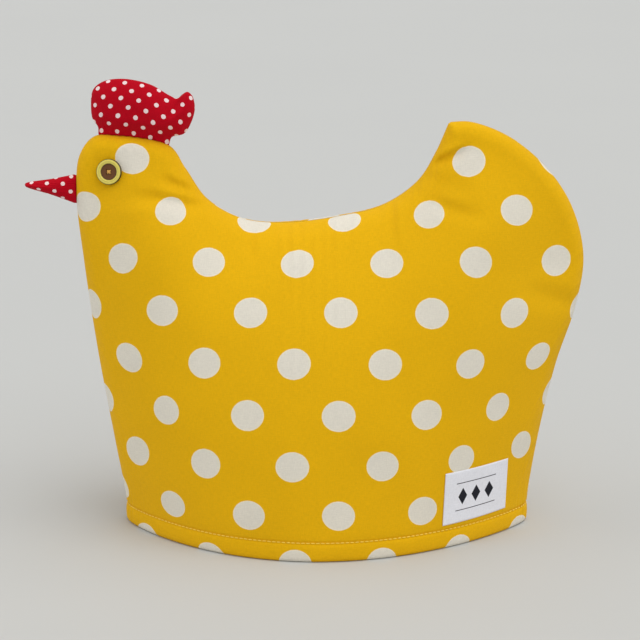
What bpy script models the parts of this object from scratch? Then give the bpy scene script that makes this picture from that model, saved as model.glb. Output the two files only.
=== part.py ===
"""A hen-shaped, padded cotton tea cosy, standing open on its hem.

Two padded side panels are sewn to each other along the bird's outline and spread apart below, so that
their hems make an oval for the teapot. A stuffed comb and a stuffed beak are caught in the seam, a button
is sewn to each side of the head for an eye, and a cotton label sits on the near side above the hem.

The bird's length lies along X with its beak at -X, the seam lies in the XZ plane, and Z is up. The origin
is on the surface that the hem stands on, below the middle of the whole length.
"""

import math

import bmesh
import bpy
import numpy as np
from mathutils import Matrix, Vector

MM = 0.001

# Padded wall
WALL = 7 * MM  # outer cloth, wadding and lining together
EDGE_ROUND = 8 * MM  # how deep the padding rolls over to the seam
EDGE_ROUND_AT_HEM = 0.45  # the share of that roll that is left at the hem's corners
ROUND_FULL_HEIGHT = 70 * MM
SEAM_GAP = 0.3 * MM  # between the two panels, and between a piece and what it is sewn to

# How far each panel stands out from the seam's plane
DEPTH_AT_HEM = 72 * MM
DEPTH_TAPER = 0.151  # lost for each unit of height
DEPTH_LOST_AT_HEAD = 36 * MM
HEAD_HEIGHT = 240 * MM
HEAD_POWER = 8
BELLY_POWER = (1.96, 2.18)  # fullness of a level section, at the hem and at the head
BELLY_ROUND = 0.84  # and how blunt its ends are
BELLY_SHIFT = 0.048  # how far its fullest place lies towards the breast, of half its length
RIDGE_LENGTH = 35.4 * MM  # how fast the panels part below their ridge
RIDGE_STEEPNESS = 1.1  # the ridge follows the top of the seam, but no steeper than this

# Soft troughs that the seam pulls in the padding, in mm and degrees
TROUGHS = (  # middle x, middle z, length, width, depth, turn from level
    (-80.0, 202.0, 46.0, 8.0, 1.6, -12.0),
    (-74.0, 209.5, 22.0, 7.0, 1.2, -27.0),
    (84.8, 226.5, 26.0, 7.0, 1.4, 28.0),
    (87.7, 198.1, 34.0, 8.0, 1.5, -13.0),
    (146.0, 144.5, 44.0, 12.0, 1.2, -23.0),
)

# Hem, turned under and topstitched
HEM_ROWS = (  # height in mm, and how far the outer cloth stands out there in mm
    (13.5, 0.0),
    (11.0, -1.1),
    (8.5, -0.1),
    (5.5, 0.4),
    (2.0, -0.3),
    (0.0, -1.9),
)

# The seam in mm, as x and z: up the breast, round the head and along the back to the tip of the tail
FRONT_SEAM = (
    (-110.0, 0.0),
    (-110.0, 13.5),
    (-115.7, 50.0),
    (-124.6, 106.0),
    (-131.6, 162.0),
    (-135.1, 204.0),
    (-132.5, 227.0),
    (-124.0, 237.6),
    (-110.0, 238.6),
    (-80.0, 232.4),
    (-70.0, 218.0),
    (-58.0, 200.5),
    (-38.0, 188.9),
    (-15.0, 186.1),
    (21.7, 190.4),
    (47.0, 197.3),
    (66.5, 211.5),
    (76.5, 228.0),
    (84.3, 246.2),
)
# and from the tip of the tail down to the hem
TAIL_SEAM = (
    (84.3, 246.2),
    (97.0, 246.3),
    (119.2, 237.9),
    (140.6, 220.8),
    (157.0, 197.5),
    (165.4, 167.0),
    (162.0, 137.0),
    (151.2, 101.4),
    (143.0, 64.0),
    (137.4, 30.0),
    (135.6, 13.5),
    (135.6, 0.0),
)
# The comb's edge in mm, from the seam at its front to the seam at its back
COMB_EDGE = (
    (-121.3, 238.9),
    (-121.4, 243.3),
    (-124.4, 248.0),
    (-125.2, 256.0),
    (-123.7, 265.3),
    (-117.5, 270.2),
    (-105.5, 271.7),
    (-90.0, 268.3),
    (-79.0, 261.9),
    (-74.6, 260.2),
    (-71.6, 262.6),
    (-68.6, 264.1),
    (-65.8, 261.6),
    (-64.4, 254.5),
    (-66.4, 246.6),
    (-71.0, 239.3),
    (-78.2, 237.2),
    (-79.9, 232.9),
)
COMB_THICK = 17 * MM
COMB_ROUND = 11 * MM

# The beak's edge in mm, from the seam below it round its tip to the seam above it
BEAK_EDGE = (
    (-135.4, 197.4),
    (-150.0, 202.8),
    (-163.4, 207.3),
    (-165.4, 208.6),
    (-163.0, 209.9),
    (-150.0, 212.4),
    (-134.9, 215.3),
)
BEAK_THICK = 9.5 * MM
BEAK_ROUND = 5.2 * MM

PINCH_LENGTH = 6 * MM  # how soon a stuffed piece swells above the seam that holds it
PINCH_THICK = 2.4 * MM

# Eye button
BUTTON_PLACE = (-114.5 * MM, 218.7 * MM)  # x and z
BUTTON_RADIUS = 7.5 * MM
BUTTON_THICK = 2.6 * MM
BUTTON_RIM = 2.4 * MM  # width of the raised rim
BUTTON_DISH = 0.8 * MM
BUTTON_BEVEL = 0.5 * MM
BUTTON_HOLE_RADIUS = 0.7 * MM
BUTTON_HOLE_PITCH = 2.2 * MM
BUTTON_SEAT = 0.4 * MM  # from the cloth to the button's back

# Label
LABEL_X = (81 * MM, 121 * MM)
LABEL_Z = (14.8 * MM, 47.3 * MM)
LABEL_THICK = 0.8 * MM
LABEL_CELLS = (12, 6)

# Mesh
SEAM_STEP = 17 * MM  # a column of the panel's mesh for this length of seam
SEAM_TURN = math.radians(18)  # and one for this much turn
PANEL_ROWS = (0.0, 0.006, 0.02, 0.045, 0.085, 0.14, 0.23, 0.35, 0.5, 0.66, 0.83, 1.0)
STUFFED_ROWS = (0.0, 0.04, 0.12, 0.25, 0.42, 0.62, 0.8, 1.0)
SEAM_LEAD = 10 * MM  # how far a column runs squarely in from the seam
SHORT_COLUMN = 80 * MM  # a shorter column has its rows evenly spaced
BUTTON_STEPS = 24
HOLE_SIDES = 8
CURVE_STEPS = 6  # points of a smooth line from one key point to the next
SAMPLE = 0.5 * MM  # for measuring a slope
WELD = 0.001 * MM
CREASE_ANGLE = math.radians(40)

COLOURS = {  # linear base colour, roughness
    "yellow_cotton": ((0.72, 0.40, 0.01), 0.9),
    "red_cotton": ((0.50, 0.004, 0.02), 0.9),
    "white_cotton": ((0.78, 0.78, 0.8), 0.9),
    "button_horn": ((0.11, 0.045, 0.02), 0.35),
}


def clear_scene():
    for found in list(bpy.data.objects):
        bpy.data.objects.remove(found)


def material(name):
    colour, roughness = COLOURS[name]
    made = bpy.data.materials.new(name)
    made.use_nodes = True
    shader = made.node_tree.nodes["Principled BSDF"]
    shader.inputs["Base Color"].default_value = (*colour, 1)
    shader.inputs["Roughness"].default_value = roughness
    shader.inputs["Metallic"].default_value = 0
    return made


def curve_through(points_mm):
    """A smooth line through the points, in metres: a Catmull-Rom curve paced by the root of length."""
    p = np.array(points_mm) * MM
    p = np.vstack([2 * p[0] - p[1], p, 2 * p[-1] - p[-2]])
    line = []
    for a, b, c, d in zip(p, p[1:], p[2:], p[3:]):
        t1 = math.sqrt(math.dist(a, b))
        t2 = t1 + math.sqrt(math.dist(b, c))
        t3 = t2 + math.sqrt(math.dist(c, d))
        for t in np.linspace(t1, t2, CURVE_STEPS, endpoint=False):
            ab = ((t1 - t) * a + t * b) / t1
            bc = ((t2 - t) * b + (t - t1) * c) / (t2 - t1)
            cd = ((t3 - t) * c + (t - t2) * d) / (t3 - t2)
            abc = ((t2 - t) * ab + t * bc) / t2
            bcd = ((t3 - t) * bc + (t - t1) * cd) / (t3 - t1)
            line.append(((t2 - t) * abc + (t - t1) * bcd) / (t2 - t1))
    return np.array(line + [p[-2]])


def lengths(line):
    return np.concatenate([[0], np.cumsum(np.linalg.norm(np.diff(line, axis=0), axis=1))])


def distance_to(line, x, z):
    """How far each point of the XZ plane is from a line in it."""
    best = np.full(np.shape(x), np.inf)
    for (ax, az), (bx, bz) in zip(line, line[1:]):
        dx, dz = bx - ax, bz - az
        t = np.clip(((x - ax) * dx + (z - az) * dz) / (dx * dx + dz * dz), 0, 1)
        best = np.minimum(best, np.hypot(x - ax - t * dx, z - az - t * dz))
    return best


def rolled(distance, radius):
    """A quarter round that rises from the seam, from 0 to 1."""
    t = np.clip(distance / radius, 0, 1)
    return np.sqrt(1 - (1 - t) ** 2)


def smooth(value):
    t = np.clip(value, 0, 1)
    return t * t * (3 - 2 * t)


SEAM = np.vstack([curve_through(FRONT_SEAM)[:-1], curve_through(TAIL_SEAM)])
BREAST_END = int(np.argmin(SEAM[:, 0]))
TAIL_END = int(np.argmax(SEAM[:, 0]))


def half_depth(x, z):
    """How far the outer cloth stands from the seam's plane over a point x, z of that plane."""
    breast, tail = SEAM[: BREAST_END + 1], SEAM[TAIL_END:][::-1]
    top = SEAM[BREAST_END : TAIL_END + 1]
    left = np.interp(z, breast[:, 1], breast[:, 0])
    right = np.interp(z, tail[:, 1], tail[:, 0])
    across = np.clip(2 * (x - left) / (right - left) - 1, -1, 1)
    across = across + BELLY_SHIFT * (1 - across**2)
    power = np.interp(z, [0, HEAD_HEIGHT], BELLY_POWER)
    depth = DEPTH_AT_HEM - DEPTH_TAPER * z
    depth = depth - DEPTH_LOST_AT_HEAD * (np.clip(z, 0, None) / HEAD_HEIGHT) ** HEAD_POWER
    ridge = np.min(top[:, 1] + RIDGE_STEEPNESS * np.abs(x[..., None] - top[:, 0]), axis=-1)
    parting = 1 - np.exp(-np.clip(ridge - z, 0, None) / RIDGE_LENGTH)
    belly = depth * (1 - np.abs(across) ** power) ** BELLY_ROUND * parting
    full_round = np.clip(z / ROUND_FULL_HEIGHT, 0, 1)
    radius = EDGE_ROUND * (EDGE_ROUND_AT_HEM + (1 - EDGE_ROUND_AT_HEM) * full_round)
    roll = rolled(distance_to(SEAM, x, z), radius)
    return radius * roll + belly - roll * troughs(x, z)


def troughs(x, z):
    """How far the soft troughs draw the outer cloth in."""
    drawn = np.zeros(np.shape(x))
    for middle_x, middle_z, length, width, depth, turn in TROUGHS:
        dx, dz = x - middle_x * MM, z - middle_z * MM
        cos, sin = math.cos(math.radians(turn)), math.sin(math.radians(turn))
        along, across = dx * cos + dz * sin, dz * cos - dx * sin
        drawn += depth * MM * np.exp(-((2 * across / (width * MM)) ** 2) - (2 * along / (length * MM)) ** 4)
    return drawn


def slope(x, z):
    """The steepness of the outer cloth, along x and along z."""
    along_x = (half_depth(x + SAMPLE, z) - half_depth(x - SAMPLE, z)) / (2 * SAMPLE)
    along_z = (half_depth(x, z + SAMPLE) - half_depth(x, z - SAMPLE)) / (2 * SAMPLE)
    return along_x, along_z


def column_feet(line):
    """Where the mesh's columns start on an edge line, as indices of its points."""
    turn = np.diff(np.unwrap(np.arctan2(np.diff(line[:, 1]), np.diff(line[:, 0]))))
    turned = np.concatenate([[0], np.cumsum(np.minimum(np.abs(turn), SEAM_TURN)), [0]])
    turned[-1] = turned[-2]
    count = lengths(line) / SEAM_STEP + turned / SEAM_TURN
    wanted = np.linspace(0, count[-1], math.ceil(count[-1]) + 1)
    return np.unique(np.abs(count - wanted[:, None]).argmin(axis=1))


def inward(line, reach):
    """The direction into the piece at each point of an edge line, averaged over a reach on both sides."""
    along = lengths(line)
    sides = []
    for k, s in enumerate(along):
        near = np.flatnonzero(np.abs(along - s) <= reach)
        first = min(near[0], max(k - 1, 0))
        last = max(near[-1], min(k + 1, len(line) - 1))
        dx, dz = line[last] - line[first]
        sides.append((dz, -dx))
    sides = np.array(sides)
    return sides / np.linalg.norm(sides, axis=1)[:, None]


def fan(edge, base, up, rows, lead):
    """A grid of points over a piece: its columns leave the edge squarely and bend down to the base line."""
    feet = column_feet(edge)
    along = lengths(edge)
    across = np.concatenate([[0], np.cumsum(np.abs(np.diff(edge @ np.array([up[1], -up[0]]))))])
    share = along / along[-1] + across / across[-1]
    base_along = lengths(base) / lengths(base)[-1]
    directions = inward(edge, lead)
    grid = []
    for foot in feet:
        t = share[foot] / share[-1]
        start = edge[foot]
        end = np.array([np.interp(t, base_along, base[:, k]) for k in (0, 1)])
        long = math.dist(start, end)
        bend = start + directions[foot] * min(lead, long / 4)
        arrive = end + np.array(up) * long / 3
        warped = smooth(long / SHORT_COLUMN)
        w = warped * np.array(rows) + (1 - warped) * np.linspace(0, 1, len(rows))
        weights = np.stack([(1 - w) ** 3, 3 * (1 - w) ** 2 * w, 3 * (1 - w) * w**2, w**3], axis=-1)
        grid.append(weights @ np.array([start, bend, arrive, end]))
    return np.array(grid)


def slab(name, grid, front, back, finish, collection):
    """A closed piece between two cloth layers over the same grid. front and back are each point's y."""
    columns, rows = grid.shape[:2]
    bm = bmesh.new()
    layers = []
    for level in (0, 1):
        place = Matrix.Translation((0, 0, level))
        made = bmesh.ops.create_grid(
            bm, x_segments=columns - 1, y_segments=rows - 1, size=0.5, matrix=place
        )
        layers.append(made["verts"])
    open_edges = [edge for edge in bm.edges if edge.is_boundary]
    bmesh.ops.bridge_loops(bm, edges=open_edges)
    for verts, y in zip(layers, (front, back)):
        for vert in verts:
            i = round((vert.co.x + 0.5) * (columns - 1))
            j = round((vert.co.y + 0.5) * (rows - 1))
            x, z = grid[i, j]
            vert.co = (x, y[i, j], z)
    bmesh.ops.remove_doubles(bm, verts=bm.verts, dist=WELD)
    bmesh.ops.dissolve_degenerate(bm, edges=bm.edges, dist=WELD)
    bmesh.ops.recalc_face_normals(bm, faces=bm.faces)
    mesh = bpy.data.meshes.new(name)
    bm.to_mesh(mesh)
    bm.free()
    return placed(name, mesh, finish, collection)


def placed(name, mesh, finish, collection):
    mesh.materials.append(finish)
    mesh.shade_smooth()
    mesh.set_sharp_from_angle(angle=CREASE_ANGLE)
    made = bpy.data.objects.new(name, mesh)
    collection.objects.link(made)
    return made


def panel(name, side, finish, collection):
    """One padded side of the bird. side is -1 for the near one and +1 for the far one."""
    heights = np.array([row[0] for row in HEM_ROWS]) * MM
    above_hem = np.flatnonzero(SEAM[:, 1] >= heights[0] - WELD)
    edge = SEAM[above_hem[0] : above_hem[-1] + 1]
    upper = fan(edge, np.array([edge[0], edge[-1]]), (0, 1), PANEL_ROWS, SEAM_LEAD)
    hem = np.stack(
        [
            np.repeat(upper[:, -1:, 0], len(heights), axis=1),
            np.repeat(heights[None], len(upper), axis=0),
        ],
        axis=-1,
    )
    grid = np.concatenate([upper[:, :-1], hem], axis=1)
    x, z = grid[..., 0], grid[..., 1]
    along_x, along_z = slope(x, z)
    depth = half_depth(x, z)
    lean = np.sqrt(1 + along_x**2 + along_z**2)
    relief = np.zeros(x.shape)
    relief[:, -len(heights) :] = np.array([row[1] for row in HEM_ROWS]) * MM
    relief *= smooth(distance_to(SEAM, x, z) / EDGE_ROUND)
    outer = SEAM_GAP / 2 + np.maximum(depth + relief * lean, 0)
    inner = SEAM_GAP / 2 + np.maximum(depth - WALL * lean, 0)
    seam_row = np.zeros(x.shape, bool)
    seam_row[:, 0] = seam_row[0] = seam_row[-1] = True
    outer[seam_row] = inner[seam_row] = SEAM_GAP / 2
    return slab(name, grid, side * outer, side * inner, finish, collection)


def seam_between(first_mm, last_mm):
    """The stretch of seam between the points nearest to two given ones, just outside it."""
    ends = [np.hypot(*(SEAM - np.array(point) * MM).T).argmin() for point in (first_mm, last_mm)]
    stretch = SEAM[min(ends) : max(ends) + 1]
    outside = stretch - inward(stretch, SAMPLE) * SEAM_GAP
    return outside if ends[0] < ends[1] else outside[::-1]


def stuffed(name, edge_mm, up, thick, radius, finish, collection):
    """A small stuffed piece, thin where it is caught in the seam."""
    base = seam_between(edge_mm[0], edge_mm[-1])
    edge = curve_through(edge_mm)
    edge[0], edge[-1] = base[0], base[-1]
    grid = fan(edge, base, up, STUFFED_ROWS, radius / 3)
    x, z = grid[..., 0], grid[..., 1]
    swell = smooth(distance_to(base, x, z) / PINCH_LENGTH)
    full = PINCH_THICK + (thick - PINCH_THICK) * swell
    depth = 0.5 * full * rolled(distance_to(edge, x, z), radius)
    depth[:, 0] = depth[0] = depth[-1] = 0
    return slab(name, grid, -depth, depth, finish, collection)


def comb(finish, collection):
    return stuffed("comb", COMB_EDGE, (0, 1), COMB_THICK, COMB_ROUND, finish, collection)


def beak(finish, collection):
    return stuffed("beak", BEAK_EDGE, (-1, 0), BEAK_THICK, BEAK_ROUND, finish, collection)


def button_profile():
    """Radius and height of the turned button, from its back's middle round its rim to its face's middle."""
    dish = BUTTON_THICK - BUTTON_DISH
    inner = BUTTON_RADIUS - BUTTON_RIM
    return (
        (0, dish),
        (inner - BUTTON_BEVEL, dish),
        (inner + BUTTON_BEVEL, BUTTON_THICK),
        (BUTTON_RADIUS - 2 * BUTTON_BEVEL, BUTTON_THICK),
        (BUTTON_RADIUS, BUTTON_THICK - 2 * BUTTON_BEVEL),
        (BUTTON_RADIUS, BUTTON_BEVEL),
        (BUTTON_RADIUS - BUTTON_BEVEL, 0),
        (0, 0),
    )


def seat(x, z, radius):
    """The level and the slopes of a flat disc that lies on the outer cloth, on its highest points."""
    turn, reach = np.meshgrid(np.radians(np.arange(0, 360, 15)), np.linspace(0, radius, 5))
    dx, dz = (reach * np.cos(turn)).ravel(), (reach * np.sin(turn)).ravel()
    depth = half_depth(x + dx, z + dz)
    plane = np.stack([np.ones(dx.shape), dx, dz], axis=-1)
    level, along_x, along_z = np.linalg.lstsq(plane, depth, rcond=None)[0]
    highest = (depth - level - along_x * dx - along_z * dz).max()
    return level + highest + SEAM_GAP / 2, along_x, along_z


def button(name, side, finish, collection, cutters):
    """An eye: a turned button with a raised rim and four thread holes, lying on the cloth of the head."""
    mesh = bpy.data.meshes.new(name)
    points = [(radius, 0, height) for radius, height in button_profile()]
    mesh.from_pydata(points, [(k, k + 1) for k in range(len(points) - 1)], [])
    made = placed(name, mesh, finish, collection)
    turn = made.modifiers.new("turned", "SCREW")
    turn.steps = turn.render_steps = BUTTON_STEPS
    turn.use_merge_vertices = True
    turn.merge_threshold = WELD
    turn.use_normal_calculate = True
    x, z = BUTTON_PLACE
    depth, along_x, along_z = seat(x, z, BUTTON_RADIUS)
    out = Vector((-along_x, side, -along_z)).normalized()
    made.location = Vector((x, side * depth, z)) + out * BUTTON_SEAT
    made.rotation_euler = out.to_track_quat("Z", "Y").to_euler()
    for i, j in ((-1, -1), (-1, 1), (1, -1), (1, 1)):
        cutter_mesh = bpy.data.meshes.new(f"{name}_hole")
        bm = bmesh.new()
        bmesh.ops.create_cone(
            bm,
            cap_ends=True,
            segments=HOLE_SIDES,
            radius1=BUTTON_HOLE_RADIUS,
            radius2=BUTTON_HOLE_RADIUS,
            depth=4 * BUTTON_THICK,
        )
        bm.to_mesh(cutter_mesh)
        bm.free()
        hole = bpy.data.objects.new(f"{name}_hole", cutter_mesh)
        hole.location = (i * BUTTON_HOLE_PITCH / 2, j * BUTTON_HOLE_PITCH / 2, 0)
        hole.parent = made
        hole.hide_render = True
        hole.display_type = "WIRE"
        cutters.objects.link(hole)
        cut = made.modifiers.new("hole", "BOOLEAN")
        cut.operation = "DIFFERENCE"
        cut.object = hole
    return made


def label(finish, collection):
    """A flat label sewn on the near panel, bent to its cloth."""
    columns, rows = LABEL_CELLS
    x, z = np.meshgrid(
        np.linspace(*LABEL_X, columns + 1), np.linspace(*LABEL_Z, rows + 1), indexing="ij"
    )
    along_x, along_z = slope(x, z)
    lean = np.sqrt(1 + along_x**2 + along_z**2)
    back = half_depth(x, z) + SEAM_GAP / 2 + SEAM_GAP * lean
    grid = np.stack([x, z], axis=-1)
    return slab("label", grid, -(back + LABEL_THICK * lean), -back, finish, collection)


def main():
    clear_scene()
    cosy = bpy.data.collections.new("hen_tea_cosy")
    cutters = bpy.data.collections.new("cutters")
    for made in (cosy, cutters):
        bpy.context.scene.collection.children.link(made)
    yellow, red = material("yellow_cotton"), material("red_cotton")
    horn = material("button_horn")
    panel("panel_near", -1, yellow, cosy)
    panel("panel_far", 1, yellow, cosy)
    comb(red, cosy)
    beak(red, cosy)
    button("eye_button_near", -1, horn, cosy, cutters)
    button("eye_button_far", 1, horn, cosy, cutters)
    label(material("white_cotton"), cosy)


main()
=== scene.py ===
"""The looks of a hen-shaped padded cotton tea cosy: dotted yellow cloth over wadding, a stuffed comb and
beak in red pin-dot cloth, button eyes, a turned and topstitched hem and a cotton label."""

import math

import bmesh
import bpy
import numpy as np
from mathutils import Euler, Matrix, Vector, noise


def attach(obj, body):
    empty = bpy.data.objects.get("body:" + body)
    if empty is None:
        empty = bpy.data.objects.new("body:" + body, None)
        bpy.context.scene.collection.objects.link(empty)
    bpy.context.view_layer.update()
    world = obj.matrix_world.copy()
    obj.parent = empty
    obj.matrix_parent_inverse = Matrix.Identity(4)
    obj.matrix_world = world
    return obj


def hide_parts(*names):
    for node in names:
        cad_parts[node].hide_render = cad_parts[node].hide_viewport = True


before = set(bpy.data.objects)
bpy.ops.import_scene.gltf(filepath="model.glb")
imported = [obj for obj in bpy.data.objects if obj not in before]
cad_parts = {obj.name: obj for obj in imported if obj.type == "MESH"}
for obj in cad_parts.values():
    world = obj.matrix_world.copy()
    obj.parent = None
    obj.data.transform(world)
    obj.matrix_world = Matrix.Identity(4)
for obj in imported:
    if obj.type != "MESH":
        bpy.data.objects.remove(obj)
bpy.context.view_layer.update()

MM = 0.001

# The padded wall and its shape, as the frame's panels have them
WALL = 7 * MM
EDGE_ROUND = 8 * MM
EDGE_ROUND_AT_HEM = 0.45
ROUND_FULL_HEIGHT = 70 * MM
SEAM_GAP = 0.04 * MM
DEPTH_AT_HEM = 72 * MM
DEPTH_TAPER = 0.151
DEPTH_LOST_AT_HEAD = 36 * MM
HEAD_HEIGHT = 240 * MM
HEAD_POWER = 8
BELLY_POWER = (1.96, 2.18)
BELLY_ROUND = 0.84
BELLY_SHIFT = 0.048
RIDGE_LENGTH = 35.4 * MM
RIDGE_STEEPNESS = 1.1
RIDGE_SOFTNESS = 4 * MM
HEM_TOP = 13.5 * MM
STITCH_HEIGHT = 11.6 * MM

# The seam in mm, as x and z: up the breast, round the head and along the back to the tip of the tail
FRONT_SEAM = (
    (-110.0, 0.0), (-110.0, 13.5), (-115.7, 50.0), (-124.6, 106.0),
    (-131.6, 162.0), (-135.1, 204.0), (-132.5, 227.0), (-124.0, 237.6),
    (-110.0, 238.6), (-80.0, 232.4), (-70.0, 218.0), (-58.0, 200.5),
    (-38.0, 188.9), (-15.0, 186.1), (21.7, 190.4), (47.0, 197.3),
    (66.5, 211.5), (76.5, 228.0), (84.3, 246.2),
)
# and from the tip of the tail down to the hem
TAIL_SEAM = (
    (84.3, 246.2), (97.0, 246.3), (119.2, 237.9), (140.6, 220.8),
    (157.0, 197.5), (165.4, 167.0), (162.0, 137.0), (151.2, 101.4),
    (143.0, 64.0), (137.4, 30.0), (135.6, 13.5), (135.6, 0.0),
)
# The comb's edge in mm, from the seam at its front to the seam at its back
COMB_EDGE = (
    (-121.3, 238.9), (-121.4, 243.3), (-124.4, 248.0), (-125.2, 256.0),
    (-123.7, 265.3), (-117.5, 270.2), (-105.5, 271.7), (-90.0, 268.3),
    (-79.0, 261.9), (-74.6, 260.2), (-71.6, 262.6), (-68.6, 264.1),
    (-65.8, 261.6), (-64.4, 254.5), (-66.4, 246.6), (-71.0, 239.3),
    (-78.2, 237.2), (-79.9, 232.9),
)
COMB_THICK = 16 * MM
COMB_ROUND = 15 * MM

# The beak's edge in mm, from the seam below it round its tip to the seam above it
BEAK_EDGE = (
    (-135.4, 197.4), (-150.0, 202.8), (-163.4, 206.9), (-165.2, 207.9),
    (-165.4, 209.3), (-164.0, 210.2), (-150.0, 212.4), (-134.9, 215.3),
)
BEAK_THICK = 9.5 * MM
BEAK_ROUND = 5.2 * MM
STUFFED_KEENNESS = 0.72
STUFFED_PUCKERS = 0.6  # their share of a panel's puckers
THINNEST = 0.4 * MM
PINCH_LENGTH = 11 * MM
PINCH_THICK = 5 * MM

# Soft troughs in the padding, in mm and degrees
TROUGHS = (  # middle x, middle z, length, width, depth, turn from level
    (-80.0, 202.0, 46.0, 8.0, 1.6, -12.0),
    (-74.0, 209.5, 22.0, 7.0, 1.2, -27.0),
    (84.8, 226.5, 26.0, 7.0, 1.4, 28.0),
    (87.7, 198.1, 34.0, 8.0, 1.5, -13.0),
    (146.0, 144.5, 44.0, 12.0, 1.2, -23.0),
)
# Finer tucks over them: the cloth stands proud above such a line and is drawn in below it
TUCKS = (  # middle x, middle z, length, width, height, turn from level
    (-76.1, 204.2, 30.0, 2.3, 0.6, -16.0),
    (-72.8, 211.7, 18.0, 2.1, 0.5, -27.0),
    (83.6, 228.7, 20.0, 2.1, 1.0, 28.0),
    (84.5, 215.0, 30.0, 3.5, 0.25, -12.6),
    (87.3, 201.2, 17.0, 2.2, 0.45, -13.0),
    (148.2, 148.4, 30.0, 6.0, 0.3, -23.0),
    (-97.8, 199.7, 28.0, 3.0, -0.4, 6.6),
    (-29.4, 177.1, 16.0, 2.0, 0.4, -90.0),
    (-16.5, 177.8, 12.0, 1.8, 0.25, -90.0),
    (-9.0, 179.0, 10.0, 1.8, 0.25, -90.0),
    (52.9, 190.2, 18.0, 2.2, 0.5, -90.0),
    (-35.0, 175.3, 16.0, 2.0, 0.3, 90.0),
)
FAR_TUCKS = TUCKS[:6]
# Folds of the comb, in the same way as the troughs: the notch before its curl, and one across its front
COMB_FOLDS = (
    (-76.0, 255.0, 12.0, 4.0, 1.6, 62.0),
    (-104.0, 243.0, 22.0, 5.0, 0.4, 84.0),
)
COMB_UP = (0, 1)
BEAK_UP = (-1, 0)
COMB_GATHER = 0.35 * MM
BEAK_GATHER = 0.2 * MM
GATHER_PITCH = 4.4 * MM
GATHER_REACH = 4 * MM
# How the print lies on a stuffed piece: its turn in degrees, its shift across and up in mm and its scale
COMB_CUT = (10.25, 5.19, 15.63, 0.995)
BEAK_CUT = (3.1, -1.6, -3.5, 1.086)

# Sewing
PUCKER_LENGTH = 7.5 * MM
PUCKER_DEPTH = 0.35 * MM
PUCKER_REACH = 7 * MM
PUCKER_START = 1.5 * MM
PUCKER_SWAY = (1.7, 5.3)  # how far their spacing sways, and over how many of them
PUCKER_UNEVEN = (0.35, 2.7)  # how unequal their heights are, and over how many of them
SEAM_SINK = 0.07 * MM  # how far the seam lies below the cloth on its two sides
SEAM_SINK_REACH = 0.8 * MM
GROOVE_DEPTH = 0.65 * MM
GROOVE_WIDTH = 1.1 * MM
HEM_PUFF = 0.3 * MM
HEM_ROUND = 2.6 * MM
STITCH_PITCH = 2.85 * MM
STITCH_LENGTH = 2.35 * MM
THREAD_RADIUS = 0.36 * MM
STITCH_TILT = 0.06
STITCH_TILT_STEP = 2.3  # how far the wave of their tilt moves on from one stitch to the next

# Wadding: the seeds of its lumps, how far from a seam they show in full, and their size and height
NEAR_SEED = -7.0
FAR_SEED = 13.0
STUFFED_SEED = 8.0
WADDING_START = 3 * MM
STUFFED_START = 2.5 * MM
LUMPS = ((34 * MM, 0.55 * MM), (13 * MM, 0.16 * MM))

# Mesh
PANEL_COLUMNS = 420
PANEL_ROWS = 92
ROW_CROWDING = 1.7  # the power that draws the rows closer together near the seam
# The rows across the hem in mm, closest at its stitches and at its fold
HEM_HEIGHTS = (
    13.5, 12.9, 12.4, 12.0, 11.6, 11.2, 10.7, 9.8, 8.6,
    7.0, 5.2, 3.8, 2.6, 1.7, 1.0, 0.45, 0.1, 0.0,
)
STUFFED_COLUMNS = 150
STUFFED_ROWS = 40
SEAM_LEAD = 10 * MM
SEAM_AVERAGE = 2 * MM
SHORT_COLUMN = 80 * MM
EVENING_ROUNDS = 160
EVENING_START = 0.25  # shares of the way from the seam: where the evening is in full
EVENING_FREE = (0.15, 0.5)  # and where it starts to move points off their rows and is free to
CURVE_STEPS = 12
SAMPLE = 0.5 * MM
WELD = 0.001 * MM

PATTERN_CELLS = (100, 70)
PATTERN_ROUNDS = 40

# Label: its corners in mm, low left and right, then top left and right
LABEL_CORNERS = ((80.9, 14.7), (120.2, 15.6), (82.3, 47.0), (121.0, 48.2))
LABEL_SIZE = (49.0 * MM, 32.3 * MM)
LABEL_THICK = 0.4 * MM
LABEL_EDGE = 0.35  # the share of its thickness at its edge
LABEL_LIFT = 0.12 * MM
LABEL_RIPPLE = 0.1 * MM
LABEL_RIPPLE_SIZE = 12 * MM
LABEL_CELLS = (80, 52)
DIAMOND_PITCH = 10.2 * MM
DIAMOND_SIZE = (6.8 * MM, 10.4 * MM)
MOTIF_LINE_PLACE = 8.4 * MM
MOTIF_LINE_WIDTH = 0.5 * MM

# Eye buttons; the rings are taken from the rim inwards as width and rise
BUTTON_PLACE = (-114.1 * MM, 218.5 * MM)
BUTTON_RADIUS = 7.5 * MM
DIMPLE_DEPTH = 1.1 * MM
DIMPLE_REACH = 10.5 * MM
BUTTON_BODY = 1.7 * MM
BUTTON_SIDES = 72
BUTTON_RINGS = (
    (0.28 * MM, 0.40 * MM),
    (0.47 * MM, 0.22 * MM),
    (0.55 * MM, 0.02 * MM),
    (0.20 * MM, -0.07 * MM),
    (0.20 * MM, 0.06 * MM),
    (0.55 * MM, -0.04 * MM),
    (0.34 * MM, -0.62 * MM),
    (1.10 * MM, -0.26 * MM),
    (2.20 * MM, -0.06 * MM),
)
BUTTON_BACK = (0.6 * MM, 0.3 * MM)
BUTTON_BEVEL = 0.09 * MM
BUTTON_SMOOTHING = 38  # edges sharper than this, in degrees, stay sharp
BUTTON_SEAT = 0.3 * MM
# The cloth under a button is felt in this many directions, at these shares of its radius
SEAT_TURNS = 24
SEAT_RINGS = (0.1, 0.4, 0.7, 1)
HOLE_RADIUS = 0.6 * MM
HOLE_PITCH = 2.0 * MM
HOLE_SIDES = 24
DRILL = 20 * MM
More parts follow.
